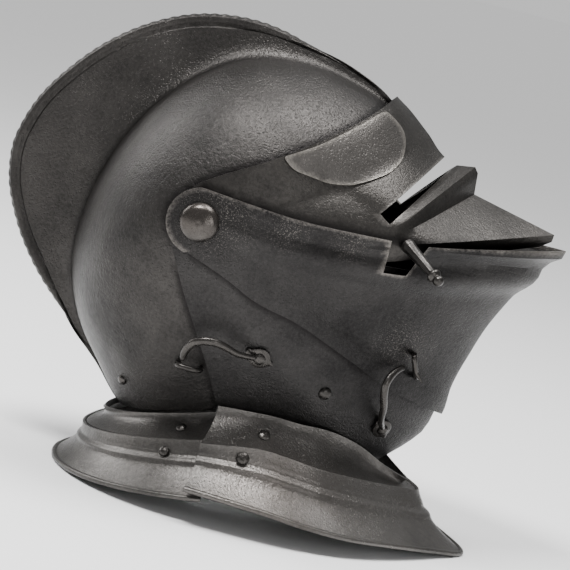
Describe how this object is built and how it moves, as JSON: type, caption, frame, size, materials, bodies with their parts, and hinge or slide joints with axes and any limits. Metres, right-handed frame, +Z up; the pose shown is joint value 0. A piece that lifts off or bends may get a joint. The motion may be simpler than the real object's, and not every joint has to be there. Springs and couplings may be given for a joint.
{
  "type": "close helmet",
  "caption": "Close helmet of iron plates with a high comb, a visor with a sight and prow, a bevor, a chin plate and a flared neck collar, all turning on side pivots.",
  "frame": {"origin": "centre of the bounding box on the surface it stands on", "axes": "+X the way the face looks, +Y the wearer's left, +Z up, leaning back on its collar as it stands"},
  "size_m": [0.3332, 0.2262, 0.2808],
  "materials": {
    "dark_iron": "pitted dark patina, satin",
    "bevor_iron": "dark blue-black patina, satin",
    "visor_iron": "warm dark patina, satin",
    "collar_iron": "grey-brown worn steel",
    "worn_iron": "rubbed bright on the high spots"
  },
  "bodies": {
    "skull": {"skull": "dark_iron", "rear_upper_lame": "collar_iron", "rear_lower_lame": "collar_iron", "pivot_rivet_right": "worn_iron", "pivot_rivet_left": "worn_iron", "nape_rivet_right": "worn_iron", "nape_rivet_left": "worn_iron", "rear_lame_rivet_upper_right": "worn_iron", "rear_lame_rivet_upper_left": "worn_iron", "rear_lame_rivet_lower_right": "worn_iron", "rear_lame_rivet_lower_left": "worn_iron", "side_staple": "worn_iron"},
    "lower_bevor": {"lower_bevor": "bevor_iron", "front_upper_lame": "collar_iron", "front_lower_lame": "collar_iron", "chin_rivet_right": "worn_iron", "chin_rivet_left": "worn_iron", "front_lame_rivet_upper_right": "worn_iron", "front_lame_rivet_upper_left": "worn_iron", "front_lame_rivet_lower_right": "worn_iron", "front_lame_rivet_lower_left": "worn_iron", "side_hook_rivet": "worn_iron", "front_hook_rivet": "worn_iron"},
    "upper_bevor": {"upper_bevor": "bevor_iron", "front_staple": "worn_iron"},
    "visor": {"visor": "visor_iron", "brow_plate": "visor_iron", "lifting_peg": "worn_iron"},
    "side_hook": {"side_hook": "worn_iron"},
    "front_hook": {"front_hook": "worn_iron"}
  },
  "joints": [
    {"name": "lower_bevor_turn", "type": "hinge", "parent": "skull", "child": "lower_bevor", "pos_m": [-0.03628, 0, 0.16795], "axis": [0, -1, 0], "range_deg": [0, 38]},
    {"name": "upper_bevor_turn", "type": "hinge", "parent": "lower_bevor", "child": "upper_bevor", "pos_m": [-0.03628, 0, 0.16795], "axis": [0, -1, 0], "range_deg": [0, 22]},
    {"name": "visor_turn", "type": "hinge", "parent": "upper_bevor", "child": "visor", "pos_m": [-0.03628, 0, 0.16795], "axis": [0, -1, 0], "range_deg": [0, 38]},
    {"name": "side_hook_swivel", "type": "hinge", "parent": "lower_bevor", "child": "side_hook", "pos_m": [0.01344, -0.08323, 0.09916], "axis": [-0.165, 0.9266, 0.3379], "range_deg": [0, 45]},
    {"name": "front_hook_swivel", "type": "hinge", "parent": "lower_bevor", "child": "front_hook", "pos_m": [0.08993, -0.03072, 0.06842], "axis": [0.5761, -0.6831, -0.4489], "range_deg": [0, 45]}
  ]
}
